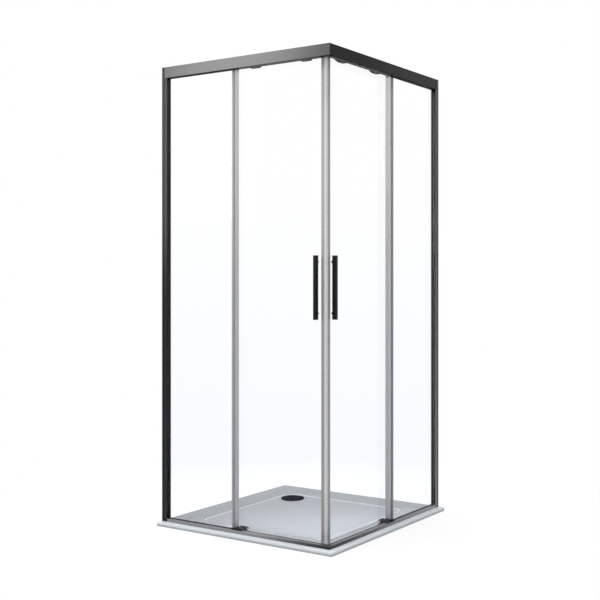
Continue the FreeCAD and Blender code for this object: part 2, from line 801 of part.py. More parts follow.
def make_door_guide(s, g):
    start = g.fixed_end + s.guide_start_gap
    base_low = s.tray_height
    top = g.sill_top + s.guide_rise
    slot_half = s.bottom_seal_half_width + s.guide_play
    slot_inner = g.door_plane - slot_half
    slot_outer = g.door_plane + slot_half
    arm_outer = g.rail_inner - s.seal_step
    front = g.rail_inner + s.guide_front
    deck = g.sill_top + s.seal_step
    body = new_body("GuideBody")
    section = draw(new_sketch(body, "YZ_Plane", depth=start), flip([
        (slot_inner - s.guide_jaw, base_low), (arm_outer, base_low), (arm_outer, deck),
        (front, deck), (front, top, s.guide_softness), (slot_outer, top, s.guide_softness),
        (slot_outer, base_low + s.guide_base), (slot_inner, base_low + s.guide_base),
        (slot_inner, top, s.guide_softness), (slot_inner - s.guide_jaw, top, s.guide_softness)]))
    pad(body, section, s.guide_length + s.guide_taper)
    ear_back = g.pane_plane + s.pane_slot_width / 2 + s.seal_step
    ear_front = front + s.guide_jaw
    ear = draw(new_sketch(body, "XY_Plane", depth=deck), flip_plan(
        box(start - s.guide_ear, ear_back, start + s.guide_ear, ear_front, s.guide_softness)))
    pad(body, ear, top - deck)
    nose = start + s.guide_length
    slope = draw(new_sketch(body, "XZ_Plane", depth=slot_inner - s.guide_jaw - s.overrun), [
        (nose, top), (nose + s.guide_taper, deck), (nose + s.guide_taper + s.overrun, deck),
        (nose + s.guide_taper + s.overrun, top + s.overrun), (nose, top + s.overrun)])
    cut(body, slope, ear_front - slot_inner + s.guide_jaw + s.overrun * 2)
    return body


# Sliding door: the pane and the profiles clipped on its edges


def bolt_places(s, g):
    return [carriage + s.bolt_spacing * side for carriage in (g.rear_carriage, g.front_carriage)
            for side in (-0.5, 0.5)]


def handle_heights(s):
    reach = s.handle_length / 2 - s.handle_screw_inset
    return [s.handle_height - reach, s.handle_height + reach]


def make_door_glass(s, g):
    body = new_body("DoorGlassBody")
    front = new_sketch(body, "XZ_Plane", depth=g.door_inner)
    draw(front, box(g.door_trail, g.door_low, g.door_lead, g.door_high))
    for x in bolt_places(s, g):
        draw_circle(front, x, g.bolt_height, s.bolt_diameter / 2 + s.glass_hole_fit)
    for height in handle_heights(s):
        draw_circle(front, g.handle_middle, height, s.handle_screw_diameter / 2 + s.glass_hole_fit)
    pad(body, front, s.door_pane_thickness)
    return body


def magnet_corners(s, g, ease):
    """The magnet's plan: a strip that lies along the 45 degree closing face."""
    middle_x = g.door_plane - s.closing_face_gap
    sink = (s.magnet_cover + s.magnet_thickness / 2) / DIAGONAL_SHARE
    along = (s.magnet_width / 2 + ease) * DIAGONAL_SHARE
    through = (s.magnet_thickness / 2 + ease) * DIAGONAL_SHARE
    return [(middle_x - sink + along * end + through * side,
             g.door_plane + along * end - through * side)
            for end, side in ((-1, -1), (-1, 1), (1, 1), (1, -1))]


def make_closing_profile(s, g):
    face = s.door_pane_thickness / 2 + s.clip_fit
    start = g.door_lead - s.closing_grip
    inner = g.door_plane - s.clip_half_width
    outer = g.door_plane + s.clip_half_width
    low = s.tray_height + s.closing_floor_gap
    body = new_body("ClosingBody")
    plan = new_sketch(body, "XY_Plane", depth=low)
    draw(plan, flip_plan([
        (start, inner), (inner - s.closing_face_gap, inner),
        (outer - s.closing_face_gap, outer), (start, outer), (start, g.door_plane + face),
        (g.door_lead + s.clip_fit, g.door_plane + face),
        (g.door_lead + s.clip_fit, g.door_plane - face), (start, g.door_plane - face)]))
    draw(plan, flip_plan(magnet_corners(s, g, s.magnet_fit)))
    pad(body, plan, g.door_high - low)
    nose = edges_at(body.Shape, x=outer - s.closing_face_gap, y=-outer)
    soften(body, nose, s.closing_nose_radius)
    return body


def make_magnet(s, g):
    low = s.tray_height + s.closing_floor_gap
    body = new_body("MagnetBody")
    plan = draw(new_sketch(body, "XY_Plane", depth=low),
                flip_plan(magnet_corners(s, g, as_size(0))))
    pad(body, plan, g.door_high - low)
    return body


def seal_top(s):
    return s.tray_height + s.bottom_seal_floor_gap + s.bottom_seal_height


def make_trailing_seal(s, g):
    """A clip on the pane's edge, longer on its outer side to carry the fin."""
    face = s.door_pane_thickness / 2 + s.clip_fit
    half = face + s.trailing_wall
    back = g.door_trail - s.clip_fit
    grip_end = back + s.trailing_grip
    low = seal_top(s) + s.seal_step
    fin_high = g.rail_bottom - s.gasket_proud - s.seal_step
    body = new_body("TrailingBody")
    clip = draw(new_sketch(body, "XY_Plane", depth=low), flip_plan([
        (back - s.trailing_wall, g.door_plane - half), (grip_end, g.door_plane - half),
        (grip_end, g.door_plane - face), (back, g.door_plane - face),
        (back, g.door_plane + face), (g.fixed_end, g.door_plane + face),
        (g.fixed_end, g.door_plane + half), (back - s.trailing_wall, g.door_plane + half)]))
    pad(body, clip, g.door_high - low)
    fin = draw(new_sketch(body, "XY_Plane", depth=low), flip_plan(box(
        g.fixed_end - s.fin_thickness, g.door_plane + face,
        g.fixed_end, g.door_plane + half + s.fin_reach)))
    pad(body, fin, fin_high - low)
    return body


def make_bottom_seal(s, g):
    low = s.tray_height + s.bottom_seal_floor_gap
    half = s.bottom_seal_half_width
    face = s.door_pane_thickness / 2 + s.clip_fit
    bed = g.door_low - s.clip_fit
    start = g.door_trail - s.clip_fit
    body = new_body("BottomSealBody")
    section = draw(new_sketch(body, "YZ_Plane", depth=start), flip([
        (g.door_plane - half, low), (g.door_plane - face, low),
        (g.door_plane - face + s.trailing_wall, bed - s.trailing_wall),
        (g.door_plane + half, bed - s.trailing_wall), (g.door_plane + half, seal_top(s)),
        (g.door_plane + face, seal_top(s)), (g.door_plane + face, bed),
        (g.door_plane - face, bed), (g.door_plane - face, seal_top(s)),
        (g.door_plane - half, seal_top(s))]))
    pad(body, section, g.door_lead - s.closing_grip - s.seal_step - start)
    return body


# Handle: a plain upright bar on the outside, held by two screws through the pane


def make_handle(s, g):
    low = s.handle_height - s.handle_length / 2
    left = g.handle_middle - s.handle_width / 2
    right = g.handle_middle + s.handle_width / 2
    body = new_body("HandleBody")
    front = draw(new_sketch(body, "XZ_Plane", depth=g.door_outer),
                 box(left, low, right, low + s.handle_length))
    pad(body, front, s.handle_depth)
    soften(body, edges_at(body.Shape, y=-(g.door_outer + s.handle_depth)),
           s.handle_softness, "Chamfer")
    for height in handle_heights(s):
        round_cut(body, g.handle_middle, height, g.door_outer - s.overrun,
                  s.handle_screw_bite + s.overrun, s.handle_screw_diameter / 2 + s.screw_fit)
    return body


def make_handle_screws(s, g):
    cap = s.handle_cap_diameter / 2
    shank = s.handle_screw_diameter / 2
    inner = g.door_inner - s.handle_cap_height
    end = g.door_outer + s.handle_screw_bite - s.screw_fit
    profile = [
        (inner, as_size(0)), (inner, cap, s.edge_softness), (g.door_inner, cap),
        (g.door_inner, shank), (end, shank), (end, as_size(0))]
    return group("HandleScrews", [
        turned_piece("HandleScrewBody", g.handle_middle, height, profile)
        for height in handle_heights(s)])


# Roller carriages: a hollow casting outside the pane, a clamp plate inside it, two bolts
# through both and two wheels in tandem on pins that reach into the track


def wheel_places(s, carriage):
    return [carriage - s.wheel_spacing / 2, carriage + s.wheel_spacing / 2]


def make_carriage(name, s, g, middle):
    left = middle - s.carriage_length / 2
    right = middle + s.carriage_length / 2
    low = g.rail_bottom
    high = low + s.carriage_height
    outer = g.rail_inner - s.carriage_gap
    floor = outer - s.carriage_hollow_depth
    body = new_body(name)
    front = draw(new_sketch(body, "XZ_Plane", depth=g.door_outer),
                 box(left, low, right, high, s.carriage_corner_radius))
    pad(body, front, outer - g.door_outer)
    hollow = draw(new_sketch(body, "XZ_Plane", depth=floor), box(
        left + s.carriage_wall, low + s.carriage_wall, right - s.carriage_wall,
        high - s.carriage_wall, s.carriage_corner_radius - s.carriage_wall))
    cut(body, hollow, s.carriage_hollow_depth + s.overrun)
    bolts = [(x, g.bolt_height) for x in (middle - s.bolt_spacing / 2, middle + s.bolt_spacing / 2)]
    pins = [(x, g.axle_height) for x in wheel_places(s, middle)]
    bosses = new_sketch(body, "XZ_Plane", depth=floor)
    for x, height in pins:
        draw_circle(bosses, x, height, s.axle_diameter / 2 + s.boss_wall)
    pad(body, bosses, s.carriage_hollow_depth)
    for x, height in pins:
        round_cut(body, x, height, outer - s.axle_bite, s.axle_bite + s.overrun,
                  s.axle_diameter / 2 + s.axle_fit)
    for x, height in bolts:
        round_cut(body, x, height, g.door_outer - s.overrun, s.bolt_bite + s.overrun,
                  s.bolt_diameter / 2 + s.screw_fit)
    return body


def make_clamp_plates(s, g):
    plates = []
    for middle in (g.rear_carriage, g.front_carriage):
        body = new_body("ClampBody")
        front = new_sketch(body, "XZ_Plane", depth=g.door_inner - s.clamp_thickness)
        draw(front, box(middle - s.clamp_length / 2, g.bolt_height - s.clamp_height / 2,
                        middle + s.clamp_length / 2, g.bolt_height + s.clamp_height / 2,
                        s.clamp_corner_radius))
        for x in (middle - s.bolt_spacing / 2, middle + s.bolt_spacing / 2):
            draw_circle(front, x, g.bolt_height, s.bolt_diameter / 2 + s.screw_fit)
        pad(body, front, s.clamp_thickness)
        plates.append(body)
    return group("ClampPlates", plates)


def make_carriage_bolts(s, g):
    seat = g.door_inner - s.clamp_thickness
    top = seat - s.bolt_head_height
    head = s.bolt_head_diameter / 2
    shank = s.bolt_diameter / 2
    socket = s.bolt_socket_diameter / 2
    end = g.door_outer + s.bolt_bite - s.screw_fit
    profile = [
        (top + s.bolt_socket_depth, as_size(0)), (top + s.bolt_socket_depth, socket),
        (top, socket), (top, head, s.edge_softness), (seat, head), (seat, shank),
        (end, shank), (end, as_size(0))]
    return group("CarriageBolts", [
        turned_piece("BoltBody", x, g.bolt_height, profile) for x in bolt_places(s, g)])


def make_wheel_axles(s, g):
    root = g.rail_inner - s.carriage_gap
    collar_end = g.wheel_inner - s.axle_float
    head_start = g.wheel_outer + s.axle_head_gap
    head_end = head_start + s.axle_head_thickness
    pin = s.axle_diameter / 2
    collar = s.axle_collar_diameter / 2
    head = s.axle_head_diameter / 2
    start = root - s.axle_bite + s.screw_fit
    profile = [
        (start, as_size(0)), (start, pin), (root, pin), (root, collar),
        (collar_end, collar), (collar_end, pin), (head_start, pin), (head_start, head),
        (head_end, head), (head_end, as_size(0))]
    return group("WheelAxles", [
        turned_piece("AxleBody", x, g.axle_height, profile)
        for carriage in (g.rear_carriage, g.front_carriage) for x in wheel_places(s, carriage)])


def make_wheel(s, g, x):
    bore = s.axle_diameter / 2 + s.axle_fit
    hub = bore + s.wheel_hub_wall
    rim = s.wheel_diameter / 2
    rim_inside = rim - s.wheel_rim_wall
    near_dish = g.wheel_inner + s.wheel_dish
    far_dish = g.wheel_outer - s.wheel_dish
    return turned_piece("WheelBody", x, g.axle_height, [
        (g.wheel_inner, bore), (g.wheel_inner, hub), (near_dish, hub), (near_dish, rim_inside),
        (g.wheel_inner, rim_inside), (g.wheel_inner, rim, s.wheel_tread_radius),
        (g.wheel_outer, rim, s.wheel_tread_radius), (g.wheel_outer, rim_inside),
        (far_dish, rim_inside), (far_dish, hub), (g.wheel_outer, hub), (g.wheel_outer, bore)])


def make_track_stops(s, g):
    """Two rubber blocks in the track that the outermost wheels meet at either end."""
    wheel = s.wheel_diameter / 2 + s.stop_touch_gap
    shut = wheel_places(s, g.front_carriage)[1] + wheel
    opened = wheel_places(s, g.rear_carriage)[0] - s.door_travel - wheel
    start = g.rail_inner + s.rail_wall + s.cleat_fit
    stops = []
    for left in (shut, opened - s.stop_length):
        body = new_body("StopBody")
        front = draw(new_sketch(body, "XZ_Plane", depth=start), box(
            left, g.track_floor, left + s.stop_length, g.track_floor + s.stop_height))
        pad(body, front, s.track_width - s.cleat_fit * 2)
        stops.append(body)
    return group("TrackStops", stops)


# Naming, mirroring and writing


def mirrored(source):
    """The right face's copy of a front piece, across the diagonal."""
    copy = FreeCAD.ActiveDocument.addObject("Part::Mirroring", source.Name + "Right")
    copy.Source = source
    copy.Base = Vector(0, 0, 0)
    copy.Normal = Vector(1, 1, 0)
    return copy


def build(s, g):
    """Makes every sub-part and gives them back by their labels."""
    single = {
        "shower_tray": make_tray(s, g),
        "waste_flange": make_waste_flange(s, g),
        "drain_cover": make_drain_cover(s, g),
        "top_corner_bracket": make_cleat(
            "TopCleatBody", s, g.chamber_inner, g.rail_outer - s.rail_wall,
            g.rail_bottom + s.rail_wall, g.rail_top - s.rail_wall, s.top_cleat_leg),
        "bottom_corner_bracket": make_cleat(
            "SillCleatBody", s, g.slot_outer + s.sill_wall, g.rail_outer - s.sill_wall,
            g.sill_bottom + s.sill_wall, g.sill_top - s.sill_wall, s.sill_cleat_leg),
    }
    paired = {
        "wall_profile": make_wall_profile(s, g),
        "frame_post": make_post(s, g),
        "post_screws": make_post_screws(s, g),
        "top_rail": make_top_rail(s, g),
        "bottom_rail": make_bottom_rail(s, g),
        "fixed_glass": make_fixed_glass(s, g),
        "glazing_gasket": make_gasket(s, g),
        "edge_profile": make_edge_profile(s, g),
        "door_guide": make_door_guide(s, g),
        "track_stops": make_track_stops(s, g),
        "door_glass": make_door_glass(s, g),
        "closing_profile": make_closing_profile(s, g),
        "magnet_strip": make_magnet(s, g),
        "trailing_seal": make_trailing_seal(s, g),
        "bottom_seal": make_bottom_seal(s, g),
        "handle": make_handle(s, g),
        "handle_screws": make_handle_screws(s, g),
        "rear_carriage": make_carriage("RearCarriageBody", s, g, g.rear_carriage),
        "front_carriage": make_carriage("FrontCarriageBody", s, g, g.front_carriage),
        "clamp_plates": make_clamp_plates(s, g),
        "carriage_bolts": make_carriage_bolts(s, g),
        "wheel_axles": make_wheel_axles(s, g),
    }
    wheels = [x for carriage in (g.rear_carriage, g.front_carriage)
              for x in wheel_places(s, carriage)]
    for number, x in enumerate(wheels, 1):
        paired["wheel_%d" % number] = make_wheel(s, g, x)
    for name, piece in paired.items():
        single["left_" + name] = piece
        single["right_" + name] = mirrored(piece)
    return single


def write_steps(doc, pieces):
    """Stops on any failed feature or bad solid, then writes one file for each sub-part."""
    for name, piece in pieces.items():
        piece.Label = name
    doc.recompute()
    failed = [thing.Label for thing in doc.Objects
              if "Invalid" in thing.State or "Error" in thing.State]
    if failed:
        raise RuntimeError("features that failed: " + ", ".join(failed))
    for name, piece in pieces.items():
        if piece.Shape.isNull() or not piece.Shape.isValid():
            raise RuntimeError(name + " has no valid solid")
    os.makedirs("parts", exist_ok=True)
    for name, piece in pieces.items():
        piece.Shape.exportStep("parts/%s.step" % name)


document = FreeCAD.newDocument("CornerShowerEnclosure")
named_sizes = write_sheet(document, SIZES)
write_steps(document, build(named_sizes, lay_out(named_sizes)))
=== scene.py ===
import json
import math

import bmesh
import bpy
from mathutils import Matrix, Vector

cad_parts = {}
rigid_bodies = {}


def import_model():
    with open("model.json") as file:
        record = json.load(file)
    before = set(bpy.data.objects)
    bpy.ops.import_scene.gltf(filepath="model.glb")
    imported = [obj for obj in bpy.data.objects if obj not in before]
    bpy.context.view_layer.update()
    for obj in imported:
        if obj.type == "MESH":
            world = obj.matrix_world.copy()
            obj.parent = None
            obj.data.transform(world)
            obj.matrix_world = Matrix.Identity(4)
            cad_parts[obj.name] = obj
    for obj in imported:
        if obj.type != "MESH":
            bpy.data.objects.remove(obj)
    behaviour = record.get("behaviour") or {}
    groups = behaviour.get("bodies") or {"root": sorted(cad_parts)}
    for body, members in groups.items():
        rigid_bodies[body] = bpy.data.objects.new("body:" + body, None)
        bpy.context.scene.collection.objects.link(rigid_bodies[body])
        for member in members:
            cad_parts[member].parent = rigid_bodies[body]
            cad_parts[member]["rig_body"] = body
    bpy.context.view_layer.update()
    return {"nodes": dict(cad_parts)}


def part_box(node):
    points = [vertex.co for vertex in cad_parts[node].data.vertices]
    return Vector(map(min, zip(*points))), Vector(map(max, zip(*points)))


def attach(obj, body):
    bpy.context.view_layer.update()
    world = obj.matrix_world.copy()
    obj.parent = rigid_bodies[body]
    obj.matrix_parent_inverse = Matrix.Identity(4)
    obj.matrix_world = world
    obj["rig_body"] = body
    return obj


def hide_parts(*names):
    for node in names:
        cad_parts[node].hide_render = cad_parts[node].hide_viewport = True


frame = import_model()
SIDES = ("left", "right")


# Shower tray
# A slim slab cast in white acrylic stone, with a shallow sloped basin. The casting is ground flat
# underneath and has a smooth gel surface with a low sheen above, a little cloudy like all castings.

NOISE_DETAIL = 4.0
SMOOTH_LIMIT = math.radians(32)
WELD = 1e-5
FLAT_LIMIT = math.radians(0.1)
TRAY_SMOOTH_LIMIT = math.radians(12)
MOST_CORNERS = 4
X, Y, Z = 0, 1, 2
HALF = 0.5


def surface_group():
    """A node group for a surface that isn't one flat colour: clouds of two tones and a fine grain."""
    group = bpy.data.node_groups.new("uneven_surface", "ShaderNodeTree")
    face = group.interface
    for name, kind in (("First tone", "NodeSocketColor"), ("Second tone", "NodeSocketColor"),
                       ("Cloud scale", "NodeSocketVector"), ("Grain scale", "NodeSocketFloat"),
                       ("Low roughness", "NodeSocketFloat"), ("High roughness", "NodeSocketFloat")):
        face.new_socket(name, in_out="INPUT", socket_type=kind)
    for name, kind in (("Color", "NodeSocketColor"), ("Roughness", "NodeSocketFloat"),
                       ("Height", "NodeSocketFloat")):
        face.new_socket(name, in_out="OUTPUT", socket_type=kind)
    nodes, links = group.nodes, group.links
    given = nodes.new("NodeGroupInput")
    result = nodes.new("NodeGroupOutput")
    place = nodes.new("ShaderNodeTexCoord")
    stretch = nodes.new("ShaderNodeVectorMath")
    stretch.operation = "MULTIPLY"
    links.new(place.outputs["Object"], stretch.inputs[0])
    links.new(given.outputs["Cloud scale"], stretch.inputs[1])
    clouds = nodes.new("ShaderNodeTexNoise")
    clouds.inputs["Scale"].default_value = 1.0
    clouds.inputs["Detail"].default_value = NOISE_DETAIL
    links.new(stretch.outputs[0], clouds.inputs["Vector"])
    tones = nodes.new("ShaderNodeMix")
    tones.data_type = "RGBA"
    links.new(clouds.outputs["Fac"], tones.inputs["Factor"])
    links.new(given.outputs["First tone"], tones.inputs["A"])
    links.new(given.outputs["Second tone"], tones.inputs["B"])
    links.new(tones.outputs["Result"], result.inputs["Color"])
    gloss = nodes.new("ShaderNodeMapRange")
    links.new(clouds.outputs["Fac"], gloss.inputs["Value"])
    links.new(given.outputs["Low roughness"], gloss.inputs["To Min"])
    links.new(given.outputs["High roughness"], gloss.inputs["To Max"])
    links.new(gloss.outputs["Result"], result.inputs["Roughness"])
    grain = nodes.new("ShaderNodeTexNoise")
    grain.inputs["Detail"].default_value = NOISE_DETAIL
    links.new(place.outputs["Object"], grain.inputs["Vector"])
    links.new(given.outputs["Grain scale"], grain.inputs["Scale"])
    links.new(grain.outputs["Fac"], result.inputs["Height"])
    return group


UNEVEN = surface_group()


def finish_material(name, tones, clouds, grain, roughness, bump, metallic=0.0, **extra):
    """A material with two close tones, a roughness range and a grain that stands bump metres proud."""
    material = bpy.data.materials.new(name)
    material.use_nodes = True
    nodes, links = material.node_tree.nodes, material.node_tree.links
    shader = nodes["Principled BSDF"]
    shader.inputs["Metallic"].default_value = metallic
    for socket, value in extra.items():
        shader.inputs[socket.replace("_", " ")].default_value = value
    surface = nodes.new("ShaderNodeGroup")
    surface.node_tree = UNEVEN
    surface.inputs["First tone"].default_value = (*tones[0], 1)
    surface.inputs["Second tone"].default_value = (*tones[1], 1)
    surface.inputs["Cloud scale"].default_value = clouds
    surface.inputs["Grain scale"].default_value = grain
    surface.inputs["Low roughness"].default_value = roughness[0]
    surface.inputs["High roughness"].default_value = roughness[1]
    links.new(surface.outputs["Color"], shader.inputs["Base Color"])
    links.new(surface.outputs["Roughness"], shader.inputs["Roughness"])
    relief = nodes.new("ShaderNodeBump")
    relief.inputs["Distance"].default_value = bump
    links.new(surface.outputs["Height"], relief.inputs["Height"])
    links.new(relief.outputs["Normal"], shader.inputs["Normal"])
    return material


def dress(node, material, edge=0.0, segments=2, smooth_limit=SMOOTH_LIMIT):
    """Shows a CAD node as one clean shell with its sharp edges broken by a small round."""
    source = frame["nodes"][node]
    mesh = bpy.data.meshes.new(node + "_finish")
    shell = bmesh.new()
    shell.from_mesh(source.data)
    bmesh.ops.remove_doubles(shell, verts=shell.verts, dist=WELD)
    bmesh.ops.dissolve_limit(shell, angle_limit=FLAT_LIMIT, verts=shell.verts, edges=shell.edges)
    if edge:
        sharp = [line for line in shell.edges
                 if len(line.link_faces) == 2 and line.calc_face_angle() > smooth_limit]
        bmesh.ops.bevel(shell, geom=sharp, offset=edge, segments=segments, affect="EDGES",
                        profile=HALF, material=-1, clamp_overlap=True)
    bmesh.ops.triangulate(shell, faces=[face for face in shell.faces if len(face.verts) > MOST_CORNERS])
    shell.to_mesh(mesh)
    shell.free()
    for face in mesh.polygons:
        face.use_smooth = True
    mesh.set_sharp_from_angle(angle=smooth_limit)
    mesh.materials.append(material)
    piece = bpy.data.objects.new(node + "_finish", mesh)
    bpy.context.scene.collection.objects.link(piece)
    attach(piece, source["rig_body"])
    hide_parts(node)
    return piece


def coat(node, material):
    """Gives a CAD node that shows as it is its material."""
    mesh = frame["nodes"][node].data
    mesh.materials.clear()
    mesh.materials.append(material)


def ramp(material, measure, reach, levels=(0, 1)):
    """Goes softly from the first level to the second as measure goes over its reach."""
    nodes, links = material.node_tree.nodes, material.node_tree.links
    level = nodes.new("ShaderNodeMapRange")
    level.interpolation_type = "SMOOTHSTEP"
    for socket, value in zip(("From Min", "From Max", "To Min", "To Max"), (*reach, *levels)):
        level.inputs[socket].default_value = value
    links.new(measure, level.inputs["Value"])
    return level.outputs["Result"]


def scale_tones(material, measure, reach, levels):
    """Scales a material's tones from the first level to the second as measure goes over its reach."""
    nodes, links = material.node_tree.nodes, material.node_tree.links
    color = nodes["Principled BSDF"].inputs["Base Color"]
    before = color.links[0].from_socket
    scaled = nodes.new("ShaderNodeVectorMath")
    scaled.operation = "SCALE"
    links.new(before, scaled.inputs[0])
    links.new(ramp(material, measure, reach, levels), scaled.inputs["Scale"])
    links.new(scaled.outputs[0], color)


def coordinate(material, axis):
    """One object coordinate of a material: X, Y or Z."""
    nodes, links = material.node_tree.nodes, material.node_tree.links
    place = nodes.new("ShaderNodeTexCoord")
    split = nodes.new("ShaderNodeSeparateXYZ")
    links.new(place.outputs["Object"], split.inputs[0])
    return split.outputs[axis]


def combine(material, operation, *terms):
    """The result of one operation on terms that are each a socket or a number."""
    nodes, links = material.node_tree.nodes, material.node_tree.links
    step = nodes.new("ShaderNodeMath")
    step.operation = operation
    for place, term in enumerate(terms):
        if isinstance(term, (int, float)):
            step.inputs[place].default_value = term
        else:
            links.new(term, step.inputs[place])
    return step.outputs[0]


def distance_from(material, corner):
    """How far a point lies from an upright line through corner, in plan."""
    nodes, links = material.node_tree.nodes, material.node_tree.links
    flat = nodes.new("ShaderNodeCombineXYZ")
    for axis in (X, Y):
        links.new(combine(material, "SUBTRACT", coordinate(material, axis), corner[axis]),
                  flat.inputs[axis])
    reach = nodes.new("ShaderNodeVectorMath")
    reach.operation = "LENGTH"
    links.new(flat.outputs[0], reach.inputs[0])
    return reach.outputs["Value"]


TRAY_LOW, TRAY_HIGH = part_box("shower_tray")
ENTRY_CORNER = (TRAY_HIGH[X], TRAY_LOW[Y])
TRAY_TONES = ((0.725, 0.76, 0.80), (0.755, 0.79, 0.83))
# distances from the tray's middle or its entry corner, and heights over the floor, in metres
LEDGE_DEPTH = 0.0030
LEDGE_REACH = (0.22, 0.345)
LEDGE_FADE = (0.46, 0.66)
SILL_LINE = 0.422
PAINTED_WALL_LEDGE_SHADE_REACH = (0.34, 0.36)
EDGE_INSIDE = 0.444
WALL_EDGE_INSIDE = 0.437
PAINTED_CORNER_LIGHT_REACH = (0.15, 0.95)
PAINTED_FOOT_SHADE_BAND = (0.005, 0.009)
SLOPE_FOOT = (0.00845, 0.0088)
SLOPE_MIDDLE = (0.0118, 0.0126)
# how far each zone of painted light and shade scales the tray's tones, before and after its reach
PAINTED_CORNER_LIGHT_LEVELS = (1.20, 0.50)
PAINTED_WALL_LEDGE_SHADE_LEVELS = (1.0, 0.84)
PAINTED_WALL_EDGE_SHADE_LEVELS = (1.0, 0.60)
PAINTED_SLOPE_FOOT_HIGHLIGHT_LEVELS = (1.0, 1.5)
PAINTED_SLOPE_SHADE_LEVELS = (1.0, 0.55)
PAINTED_FOOT_SHADE_LEVELS = (0.60, 1.0)


def tray_material():
    """White casting, with painted light at the entry corner and ledges and painted shade by the walls and
    edge foot.
    """
    material = finish_material("cast_tray", TRAY_TONES, (3, 3, 3), 40, (0.30, 0.36), 0.0,
                               Specular_IOR_Level=0.14)
    height = coordinate(material, Z)
    entry = combine(material, "MAXIMUM", coordinate(material, X),
                    combine(material, "MULTIPLY", coordinate(material, Y), -1.0))
    wall = combine(material, "MAXIMUM", coordinate(material, Y),
                   combine(material, "MULTIPLY", coordinate(material, X), -1.0))
    rim = combine(material, "MAXIMUM", entry, wall)
    on_top = combine(material, "GREATER_THAN", height, TRAY_HIGH[Z] - LEDGE_DEPTH)
    upright = combine(material, "GREATER_THAN", rim, EDGE_INSIDE)
    from_corner = distance_from(material, ENTRY_CORNER)
    # painted light: the entry ledges, outside the sill line and near the entry corner, are lightened
    lit = combine(material, "MAXIMUM", combine(material, "GREATER_THAN", entry, SILL_LINE),
                  ramp(material, from_corner, LEDGE_FADE, (1, 0)))
    painted_light_ledge = combine(material, "MINIMUM", combine(material, "MAXIMUM", on_top, upright),
                          ramp(material, entry, LEDGE_REACH))
    painted_light_ledge = combine(material, "MINIMUM", painted_light_ledge, lit)
    inside = combine(material, "SUBTRACT", 1.0, painted_light_ledge)
    away = combine(material, "MULTIPLY", from_corner, inside)
    # painted light and shade: tones lighten near the entry corner and darken towards the far corner
    scale_tones(material, away, PAINTED_CORNER_LIGHT_REACH, PAINTED_CORNER_LIGHT_LEVELS)
    # painted shade: the ledges along the walls are darkened
    painted_shade_wall_ledge = combine(material, "MINIMUM", combine(material, "MINIMUM", on_top, inside),
                         ramp(material, wall, PAINTED_WALL_LEDGE_SHADE_REACH))
    scale_tones(material, painted_shade_wall_ledge, (0, 1), PAINTED_WALL_LEDGE_SHADE_LEVELS)
    # painted shade: the upright edge along the walls is darkened
    painted_shade_wall_edge = combine(material, "MINIMUM", inside,
                        combine(material, "GREATER_THAN", wall, WALL_EDGE_INSIDE))
    scale_tones(material, painted_shade_wall_edge, (0, 1), PAINTED_WALL_EDGE_SHADE_LEVELS)
    in_basin = combine(material, "LESS_THAN", rim, EDGE_INSIDE)
    slope = combine(material, "MULTIPLY", combine(material, "MULTIPLY", height, in_basin),
                    combine(material, "LESS_THAN", on_top, HALF))
    # painted highlight: a pale line along the foot of the basin's slope
    scale_tones(material, slope, SLOPE_FOOT, PAINTED_SLOPE_FOOT_HIGHLIGHT_LEVELS)
    # painted shade: a darker line across the middle of the slope
    scale_tones(material, slope, SLOPE_MIDDLE, PAINTED_SLOPE_SHADE_LEVELS)
    # painted shade: the foot of the tray's upright edge is darkened
    above = combine(material, "MAXIMUM", height, combine(material, "SUBTRACT", TRAY_HIGH[Z], upright))
    scale_tones(material, above, PAINTED_FOOT_SHADE_BAND, PAINTED_FOOT_SHADE_LEVELS)
    return material


tray_white = tray_material()
dress("shower_tray", tray_white, smooth_limit=TRAY_SMOOTH_LIMIT)


# Waste and drain cover
# A flanged outlet moulded in grey plastic, clamped into the tray, and a pressed round cover with
# a dark satin coating that stands on three feet and lifts off for cleaning.

waste_grey = finish_material(
    "waste_plastic", ((0.50, 0.51, 0.53), (0.56, 0.57, 0.59)), (20, 20, 20), 700, (0.35, 0.5), 0.00003)
cover_coat = finish_material(
    "cover_coating", ((0.0035, 0.0062, 0.0120), (0.0048, 0.0082, 0.0150)), (30, 30, 30), 1500,
    (0.5, 0.6), 0.00002, Specular_IOR_Level=0.0)
coat("waste_flange", waste_grey)
dress("drain_cover", cover_coat, 0.0003)


# Frame
# Thin aluminium extrusions, brushed along their length and anodised in satin anthracite. The rails
# are cut at 45 degrees over the entry corner, where cleats pressed into their chambers hold them.
# Each post slides into a profile screwed to the wall, and three steel screws lock the two.

BRUSHED_ALONG = 3
BRUSHED_ACROSS = 260
BRUSHED_GRAIN = 900
BRUSHED_BUMP = 0.00002
ANODISED = 0.85


def brushed(name, tones, run, roughness=(0.25, 0.30), **extra):
    """Anodised aluminium whose grain runs along one axis: X, Y or Z."""
    stretch = [BRUSHED_ACROSS] * 3
    stretch[run] = BRUSHED_ALONG
    return finish_material(name, tones, stretch, BRUSHED_GRAIN, roughness, BRUSHED_BUMP, ANODISED, **extra)


# painted light: left and right top rails are lit and shaded copies of one anodised finish
RAIL_PAINTED_LIGHT_TONES = {"left": ((0.080, 0.080, 0.082), (0.097, 0.097, 0.099)),
              "right": ((0.050, 0.050, 0.051), (0.060, 0.060, 0.061))}
SILL_TONES = ((0.095, 0.095, 0.098), (0.110, 0.110, 0.113))
# painted light: left and right posts are lit and shaded copies of one anodised finish
POST_PAINTED_LIGHT_TONES = {"left": ((0.014, 0.014, 0.015), (0.019, 0.019, 0.020)),
              "right": ((0.038, 0.038, 0.039), (0.046, 0.046, 0.047))}
WALL_PROFILE_TONES = ((0.007, 0.007, 0.008), (0.010, 0.010, 0.011))
EDGE_SHEEN = (0.3, 0.3, 0.3, 1)
RUN = {"left": X, "right": Y}
RAIL_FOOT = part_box("left_top_rail")[0][Z]
